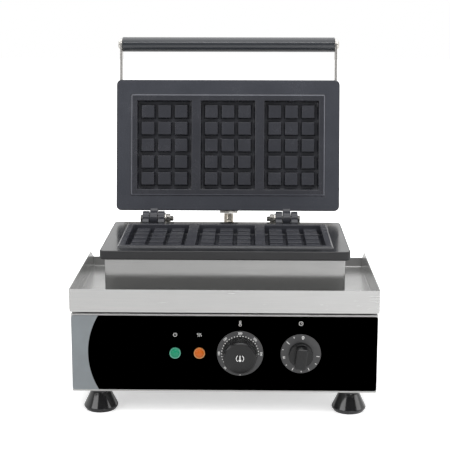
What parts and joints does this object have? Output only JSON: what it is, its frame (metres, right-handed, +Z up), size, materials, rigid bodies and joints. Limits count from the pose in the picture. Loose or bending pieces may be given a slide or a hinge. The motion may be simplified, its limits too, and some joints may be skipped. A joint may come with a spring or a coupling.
{
  "type": "brussels waffle iron",
  "caption": "Electric countertop waffle iron with deep-grid hinged plates, a drip tray, lid handle, front dials and pilot lamps on cone feet.",
  "frame": {"origin": "centre of the whole object's box at the level that the feet stand on, with the lid open", "axes": "+X to the right seen from the front, +Y from the control panel to the back, +Z up"},
  "size_m": [0.412, 0.3607, 0.4926],
  "materials": {
    "stainless_sheet": "folded sheet with a fine brushed grain",
    "bright_steel": "bright turned or plated steel",
    "grill_plate_iron": "fine sand-cast surface with a dark grey non-stick coat",
    "handle_plastic": "satin black-grey sleeve",
    "knob_plastic": "satin moulded thermoset",
    "panel_film": "smooth black front film with a grey field at its left",
    "foot_plastic": "glossy moulded plastic",
    "green_lens": "clear-tinted lamp lens",
    "orange_lens": "clear-tinted lamp lens",
    "element_sheath": "heat-tinted metal sheath",
    "mineral_wool": "pressed fibre block",
    "ceramic": "unglazed ceramic",
    "black_fitting_plastic": "moulded nylon"
  },
  "bodies": {
    "base": {"housing_shell": "stainless_sheet", "base_plate": "stainless_sheet", "rear_panel": "stainless_sheet", "drip_tray": "stainless_sheet", "heater_box": "stainless_sheet", "hinge_bolt_left": "bright_steel", "hinge_bolt_right": "bright_steel", "hinge_washer_left": "bright_steel", "hinge_washer_right": "bright_steel", "hinge_nut_left": "bright_steel", "hinge_nut_right": "bright_steel", "case_screw_left_low": "bright_steel", "case_screw_left_high": "bright_steel", "case_screw_right_low": "bright_steel", "case_screw_right_high": "bright_steel", "foot_screw_front_left": "bright_steel", "foot_screw_front_right": "bright_steel", "foot_screw_rear_left": "bright_steel", "foot_screw_rear_right": "bright_steel", "lid_conduit": "bright_steel", "rear_hose_gland": "bright_steel", "sensor_bulb_and_capillary": "bright_steel", "lower_grill_plate": "grill_plate_iron", "control_panel": "panel_film", "foot_front_left": "foot_plastic", "foot_front_right": "foot_plastic", "foot_rear_left": "foot_plastic", "foot_rear_right": "foot_plastic", "lamp_lens_green": "green_lens", "lamp_lens_orange": "orange_lens", "lower_heating_element": "element_sheath", "lower_thermal_block": "mineral_wool", "wire_bush_front": "ceramic", "wire_bush_rear": "ceramic", "terminal_block": "ceramic", "thermostat_body": "ceramic", "mains_cable_gland": "black_fitting_plastic", "timer_body": "black_fitting_plastic", "lamp_holder_green": "black_fitting_plastic", "lamp_holder_orange": "black_fitting_plastic"},
    "lid": {"upper_grill_plate": "grill_plate_iron", "upper_cover": "stainless_sheet", "upper_thermal_block": "mineral_wool", "upper_heating_element": "element_sheath", "handle_bar": "handle_plastic", "handle_rod": "bright_steel", "handle_arm_left": "stainless_sheet", "handle_arm_right": "stainless_sheet", "handle_cap_nut_left": "bright_steel", "handle_cap_nut_right": "bright_steel", "arm_screw_left_front": "bright_steel", "arm_screw_left_rear": "bright_steel", "arm_screw_right_front": "bright_steel", "arm_screw_right_rear": "bright_steel", "lid_hose_gland": "bright_steel"},
    "temperature_dial": {"temperature_knob": "knob_plastic", "thermostat_shaft": "bright_steel"},
    "timer_dial": {"timer_knob": "knob_plastic", "timer_shaft": "bright_steel"}
  },
  "joints": [
    {"name": "lid_hinge", "type": "hinge", "parent": "base", "child": "lid", "pos_m": [0, 0.0915, 0.2254], "axis": [1, 0, 0], "range_deg": [0, 101.5], "deforming": ["lid_conduit"]},
    {"name": "temperature_turn", "type": "hinge", "parent": "base", "child": "temperature_dial", "pos_m": [0.0213, -0.1514, 0.092], "axis": [0, 1, 0], "range_deg": [-90, 180]},
    {"name": "timer_turn", "type": "hinge", "parent": "base", "child": "timer_dial", "pos_m": [0.102, -0.1514, 0.092], "axis": [0, 1, 0], "range_deg": [0, 270]}
  ]
}
